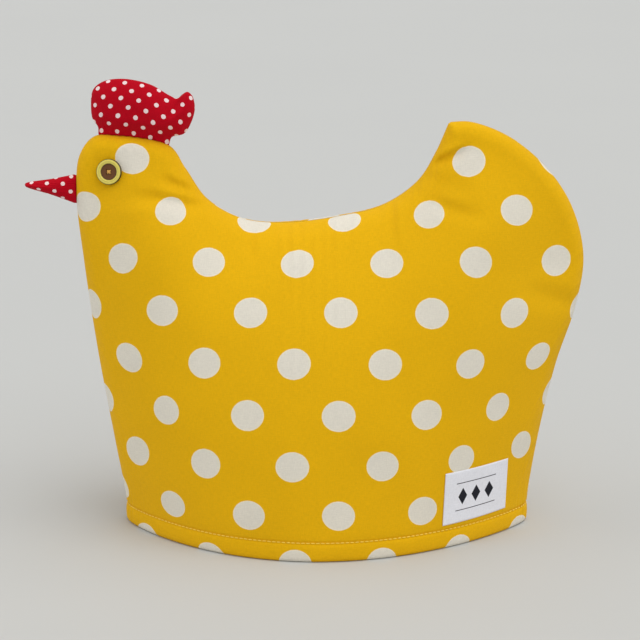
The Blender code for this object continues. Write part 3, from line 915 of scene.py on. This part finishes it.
def calc(tree, operation, *values):
    return node(tree, "Math", dict(enumerate(values)), operation=operation).outputs[0]


def vector_calc(tree, operation, *values):
    made = node(tree, "VectorMath", dict(enumerate(values)), operation=operation)
    return made.outputs["Value" if operation in ("LENGTH", "DOT_PRODUCT") else "Vector"]


def blend(tree, share, first, second):
    """A colour between two others; the Mix node's colour sockets are its seventh and eighth."""
    return node(tree, "Mix", {0: share, 6: first, 7: second}, data_type="RGBA").outputs[2]


def darker(colour, share):
    return (*(share * channel for channel in colour[:3]), 1)


def noisy(tree, place, scale, detail):
    return node(tree, "TexNoise", {"Vector": place, "Scale": scale, "Detail": detail})


def bumped(tree, shader, height, strength, distance):
    relief = node(tree, "Bump", {"Height": height, "Strength": strength, "Distance": distance})
    tree.links.new(relief.outputs[0], shader.inputs["Normal"])


def ramped(tree, value, low, high, first=0.0, last=1.0):
    inputs = {"Value": value, "From Min": low, "From Max": high, "To Min": first, "To Max": last}
    return node(tree, "MapRange", inputs, clamp=True).outputs[0]


def node_group(name, takes, gives):
    """An effect shared by several finishes: its tree, and its group's input and output nodes."""
    tree = bpy.data.node_groups.new(name, "ShaderNodeTree")
    for socket, kind, value in takes:
        made = tree.interface.new_socket(socket, in_out="INPUT", socket_type=f"NodeSocket{kind}")
        made.default_value = value
    for socket, kind in gives:
        tree.interface.new_socket(socket, in_out="OUTPUT", socket_type=f"NodeSocket{kind}")
    taken = tree.nodes.new("NodeGroupInput").outputs
    given = tree.nodes.new("NodeGroupOutput").inputs
    return tree, taken, given


def weave_group():
    """A plain weave over the cloth map: the height of its threads, and their uneven tone, with painted
    shade between them.
    """
    takes = [("Thread", "Float", THREAD_PITCH)]
    tree, taken, given = node_group("plain weave", takes, [("Height", "Float"), ("Tone", "Float")])
    place = node(tree, "UVMap", uv_map="cloth").outputs[0]
    counted = node(tree, "SeparateXYZ", {0: place})
    across = calc(tree, "DIVIDE", counted.outputs[0], taken["Thread"])
    along = calc(tree, "DIVIDE", counted.outputs[1], taken["Thread"])
    crossing = calc(tree, "ADD", calc(tree, "FLOOR", across), calc(tree, "FLOOR", along))
    over = calc(tree, "FLOORED_MODULO", crossing, 2.0)
    warp = calc(tree, "ABSOLUTE", calc(tree, "SINE", calc(tree, "MULTIPLY", across, math.pi)))
    weft = calc(tree, "ABSOLUTE", calc(tree, "SINE", calc(tree, "MULTIPLY", along, math.pi)))
    raised = calc(tree, "MULTIPLY_ADD", over, calc(tree, "SUBTRACT", warp, weft), weft)
    slubs = []
    for stretch in SLUBS:
        drawn = vector_calc(tree, "MULTIPLY", place, stretch)
        slubs.append(noisy(tree, drawn, 1.0, 2.0).outputs[0])
    uneven = calc(tree, "MULTIPLY", calc(tree, "ADD", *slubs), 0.5)
    tree.links.new(calc(tree, "MULTIPLY_ADD", uneven, 0.6, raised), given["Height"])
    # the tone is lighter where a thread rises: painted shade in the hollows of the weave, over the thick
    # threads' unevenness
    tree.links.new(calc(tree, "MULTIPLY_ADD", raised, 0.25, uneven), given["Tone"])
    return tree


def dot_group():
    """A print of dots in the corners and the middle of slanted cells: the dots, and their thin rims."""
    takes = [(socket, "Vector", value) for socket, value in YELLOW_PRINT.items()] + [("Rim", "Float", 0.05)]
    tree, taken, given = node_group("dot print", takes, [("Dots", "Float"), ("Rims", "Float")])
    place = node(tree, "UVMap", uv_map="cloth").outputs[0]
    ragged = noisy(tree, place, 900.0, 1.0).outputs["Color"]
    ragged = vector_calc(tree, "MULTIPLY_ADD", ragged, (RAGGED, RAGGED, 0), (-RAGGED / 2, -RAGGED / 2, 0))
    place = vector_calc(tree, "SUBTRACT", vector_calc(tree, "ADD", place, ragged), taken["Origin"])
    upright = vector_calc(tree, "CROSS_PRODUCT", taken["Across"], taken["Up"])
    cell = node(tree, "SeparateXYZ", {0: upright}).outputs[2]
    counts = []
    for line, sign in ((taken["Up"], 1.0), (taken["Across"], -1.0)):
        turned = node(tree, "SeparateXYZ", {0: vector_calc(tree, "CROSS_PRODUCT", place, line)}).outputs[2]
        counts.append(calc(tree, "DIVIDE", calc(tree, "MULTIPLY", turned, sign), cell))
    nearest = None
    for shift in (0.0, 0.5):
        reach = []
        for at, line in zip(counts, (taken["Across"], taken["Up"])):
            within = calc(tree, "FRACT", calc(tree, "ADD", at, 0.5 + shift))
            off = calc(tree, "SUBTRACT", within, 0.5)
            reach.append(calc(tree, "MULTIPLY", off, vector_calc(tree, "LENGTH", line)))
        span = node(tree, "CombineXYZ", {0: reach[0], 1: reach[1]}).outputs[0]
        away = vector_calc(tree, "LENGTH", vector_calc(tree, "DIVIDE", span, taken["Dot Size"]))
        nearest = away if nearest is None else calc(tree, "MINIMUM", nearest, away)
    dots = ramped(tree, nearest, *DOT_EDGE, 1.0, 0.0)
    inner = calc(tree, "SUBTRACT", 0.5, taken["Rim"])
    rims = ramped(tree, nearest, inner, 0.5)
    tree.links.new(dots, given["Dots"])
    tree.links.new(rims, given["Rims"])
    return tree


def finish_named(name, **constants):
    """An empty finish: its material, its tree and its shader, with the shader's constants set."""
    material = bpy.data.materials.new(name)
    material.use_nodes = True
    tree = material.node_tree
    shader = tree.nodes["Principled BSDF"]
    for socket, value in constants.items():
        shader.inputs[socket.replace("_", " ").title().replace("Ior", "IOR")].default_value = value
    return material, tree, shader


def cotton(name, colour, thread=THREAD_PITCH, bump=0.4, dots=None, dot_colour=CREAM, rim_colour=CREAM):
    """Woven cotton in one colour, with a print of dots where one is given."""
    material, tree, shader = finish_named(
        name, sheen_weight=0.03, sheen_roughness=0.5, specular_ior_level=0.08
    )
    woven = node(tree, "Group", node_tree=WEAVE)
    woven.inputs["Thread"].default_value = thread
    shade = colour
    if dots:
        printed = node(tree, "Group", node_tree=DOTS)
        for socket, value in dots.items():
            printed.inputs[socket].default_value = value
        ink = blend(tree, printed.outputs["Rims"], dot_colour, rim_colour)
        shade = blend(tree, printed.outputs["Dots"], colour, ink)
    place = node(tree, "TexCoord").outputs["Object"]
    cloudy = noisy(tree, place, 26.0, 3.0).outputs[0]
    faded = calc(tree, "MULTIPLY_ADD", cloudy, FADING, DARKEST)
    # the weave's tone, with its painted shade between the threads, over the slow fading
    tone = calc(tree, "MULTIPLY_ADD", woven.outputs["Tone"], WEAVE_CONTRAST, faded)
    tint = node(tree, "CombineColor", {0: tone, 1: tone, 2: tone}).outputs[0]
    shaded = node(tree, "Mix", {0: 1.0, 6: shade, 7: tint}, data_type="RGBA", blend_type="MULTIPLY")
    tree.links.new(shaded.outputs[2], shader.inputs["Base Color"])
    tree.links.new(ramped(tree, woven.outputs["Tone"], 0.2, 0.9, 0.92, 0.78), shader.inputs["Roughness"])
    bumped(tree, shader, woven.outputs["Height"], bump, THREAD_RISE)
    return material, tree, shaded


def label_cotton(name):
    """White cotton tape with a row of three small diamonds between two thin lines."""
    material, tree, shaded = cotton(name, LABEL_WHITE, thread=0.3 * MM, bump=0.15)
    place = node(tree, "SeparateXYZ", {0: node(tree, "UVMap", uv_map="cloth").outputs[0]})
    across, up = place.outputs[0], place.outputs[1]
    folded = calc(tree, "PINGPONG", calc(tree, "ADD", across, DIAMOND_PITCH / 2), DIAMOND_PITCH / 2)
    folded = calc(tree, "SUBTRACT", DIAMOND_PITCH / 2, folded)
    slant = calc(tree, "DIVIDE", folded, DIAMOND_SIZE[0] / 2)
    rise = calc(tree, "DIVIDE", calc(tree, "ABSOLUTE", up), DIAMOND_SIZE[1] / 2)
    diamonds = ramped(tree, calc(tree, "ADD", slant, rise), 0.97, 1.03, 1.0, 0.0)
    within = calc(tree, "LESS_THAN", calc(tree, "ABSOLUTE", across), 1.5 * DIAMOND_PITCH)
    off_line = calc(tree, "ABSOLUTE", calc(tree, "SUBTRACT", calc(tree, "ABSOLUTE", up), MOTIF_LINE_PLACE))
    lines = ramped(tree, off_line, MOTIF_LINE_WIDTH * 0.4, MOTIF_LINE_WIDTH * 0.6, 1.0, 0.0)
    inked = calc(tree, "MULTIPLY", calc(tree, "MAXIMUM", diamonds, lines), within)
    tree.links.new(blend(tree, inked, LABEL_WHITE, LABEL_INK), shaded.inputs[6])
    return material


def turned_button(name):
    """A button dyed in rings: a lime rim with a fine groove, a brown middle, and painted shade at its edge
    and in its hollows.
    """
    material, tree, shader = finish_named(name, coat_roughness=0.3, specular_ior_level=0.3)
    place = node(tree, "UVMap", uv_map="turned").outputs[0]
    out = vector_calc(tree, "LENGTH", place)
    grained = noisy(tree, place, 700.0, 3.0).outputs[0]
    wobble = calc(tree, "MULTIPLY_ADD", grained, RING_WOBBLE, -RING_WOBBLE / 2)
    out = calc(tree, "ADD", out, wobble)
    middle = ramped(tree, out, *MIDDLE_TURNS)
    # painted shadow round the button's outer edge
    edge = ramped(tree, out, *EDGE_SHADOW_TURNS)
    brown = blend(tree, grained, BUTTON_BROWN, BUTTON_CORE)
    # painted shade, darker towards the foot of the step into the sunk middle
    brown = blend(tree, ramped(tree, out, *MIDDLE_SHADE_TURNS, 0.0, 0.75), brown, BUTTON_SHADE)
    lime = blend(tree, grained, BUTTON_LIME, BUTTON_PALE)
    groove = calc(tree, "ABSOLUTE", calc(tree, "SUBTRACT", out, GROOVE_PLACE))
    # painted shade in the groove of the rim
    lime = blend(tree, ramped(tree, groove, 0.1 * MM, 0.3 * MM, 0.22, 0.0), lime, BUTTON_SHADE)
    shade = blend(tree, edge, blend(tree, middle, brown, lime), BUTTON_SHADE)
    tree.links.new(shade, shader.inputs["Base Color"])
    tree.links.new(ramped(tree, grained, 0.3, 0.7, 0.32, 0.5), shader.inputs["Roughness"])
    tree.links.new(ramped(tree, grained, 0.3, 0.7, 0.12, 0.04), shader.inputs["Coat Weight"])
    bumped(tree, shader, grained, 0.15, 0.1 * MM)
    return material


def sewing_thread(name, colour):
    """Twisted cotton thread, with fine uneven plies and painted shade between them."""
    material, tree, shader = finish_named(name, specular_ior_level=0.2)
    place = node(tree, "TexCoord").outputs["Object"]
    turns = {"Vector": place, "Scale": 900.0, "Distortion": 2.0}
    plies = node(tree, "TexWave", turns, bands_direction="DIAGONAL").outputs["Fac"]
    # darker where the plies sink: painted shade between them
    tree.links.new(blend(tree, plies, darker(colour, 0.88), colour), shader.inputs["Base Color"])
    tree.links.new(ramped(tree, plies, 0, 1, 0.75, 0.6), shader.inputs["Roughness"])
    bumped(tree, shader, plies, 0.3, 0.05 * MM)
    return material


def floor(finish):
    deselect()
    bpy.ops.mesh.primitive_plane_add(size=FLOOR_SIZE)
    board = bpy.context.object
    board.name = "floor"
    board.data.materials.append(finish)


def floor_paint(name):
    material, tree, shader = finish_named(name, specular_ior_level=0.25)
    place = node(tree, "TexCoord").outputs["Object"]
    cloudy = noisy(tree, place, 3.0, 4.0).outputs[0]
    tree.links.new(blend(tree, cloudy, darker(FLOOR_TONE, 0.97), FLOOR_TONE), shader.inputs["Base Color"])
    tree.links.new(ramped(tree, cloudy, 0, 1, 0.7, 0.8), shader.inputs["Roughness"])
    return material


def lights():
    world = bpy.data.worlds.new("studio")
    bpy.context.scene.world = world
    world.use_nodes = True
    sky = world.node_tree.nodes["Background"]
    sky.inputs[0].default_value = SKY_TONE
    sky.inputs[1].default_value = SKY_STRENGTH
    for name, place, spread, strength in LAMPS:
        lamp = bpy.data.lights.new(name, "SUN")
        lamp.angle = math.radians(spread)
        lamp.energy = strength
        lamp.color = LAMP_TONE
        stand = bpy.data.objects.new(name, lamp)
        stand.location = place
        stand.rotation_euler = (-Vector(place)).to_track_quat("-Z", "Y").to_euler()
        bpy.context.scene.collection.objects.link(stand)


def camera():
    lens = bpy.data.cameras.new("camera")
    lens.lens = CAMERA_LENS
    lens.sensor_width = SENSOR
    stand = bpy.data.objects.new("camera", lens)
    rise = math.radians(CAMERA_RISE)
    away = Vector((0, -math.cos(rise), math.sin(rise))) * CAMERA_DISTANCE
    stand.location = Vector(CAMERA_AIM) + away
    stand.rotation_euler = Euler((math.pi / 2 - rise, 0, 0))
    bpy.context.scene.collection.objects.link(stand)
    bpy.context.scene.camera = stand


WEAVE = weave_group()
DOTS = dot_group()
yellow_cotton = cotton("yellow dotted cotton", YELLOW, dots=YELLOW_PRINT, rim_colour=CREAM_RIM)[0]
lining_cotton = cotton("cream lining cotton", LINING)[0]
pin_colours = {"dot_colour": PIN_WHITE, "rim_colour": PIN_WHITE}
red_cotton = cotton("red pin-dot cotton", CRIMSON, dots=PIN_PRINT, **pin_colours)[0]
white_cotton = label_cotton("white label cotton")
button_horn = turned_button("ringed button")
yellow_thread = sewing_thread("pale yellow thread", THREAD_YELLOW)
gold_thread = sewing_thread("golden thread", THREAD_GOLD)

for where, side, tucks, seed in (("near", -1, TUCKS, NEAR_SEED), ("far", 1, FAR_TUCKS, FAR_SEED)):
    grid, outer, inner = panel_cloth(tucks, seed)
    pattern = eased(lay_flat(np.stack([grid[..., 0], -outer, grid[..., 1]], axis=-1)), grid, EASE)
    if side > 0:
        pattern = pattern + np.array(FAR_SHIFT)
    layers = [yellow_cotton, lining_cotton]
    body = cloth_body(f"cloth_{where}", grid, side * outer, side * inner, pattern, layers, HEM_TOP)
    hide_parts(f"panel_{where}")
    stitches = hem_stitches(f"hem_stitches_{where}", side, grid, outer, yellow_thread)
    eye = button(f"button_{where}", side, button_horn)
    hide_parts(f"eye_button_{where}")
    cross = button_thread(f"button_thread_{where}", side, gold_thread)
    for piece in (body, stitches, eye, cross):
        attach(piece, "root")

comb_sewing = {"gathers": COMB_GATHER, "folds": COMB_FOLDS, "cut": COMB_CUT, "ease": COMB_EASE}
beak_sewing = {"gathers": BEAK_GATHER, "folds": (), "cut": BEAK_CUT, "ease": ()}
crest = stuffed("comb_cloth", COMB_EDGE, COMB_UP, COMB_THICK, COMB_ROUND, red_cotton, **comb_sewing)
bill = stuffed("beak_cloth", BEAK_EDGE, BEAK_UP, BEAK_THICK, BEAK_ROUND, red_cotton, **beak_sewing)
tab = label_cloth(white_cotton)
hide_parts("comb")
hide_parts("beak")
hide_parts("label")
for piece in (crest, bill, tab):
    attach(piece, "root")

floor(floor_paint("pale floor paint"))
lights()
camera()
bpy.context.scene.view_settings.view_transform = "Standard"
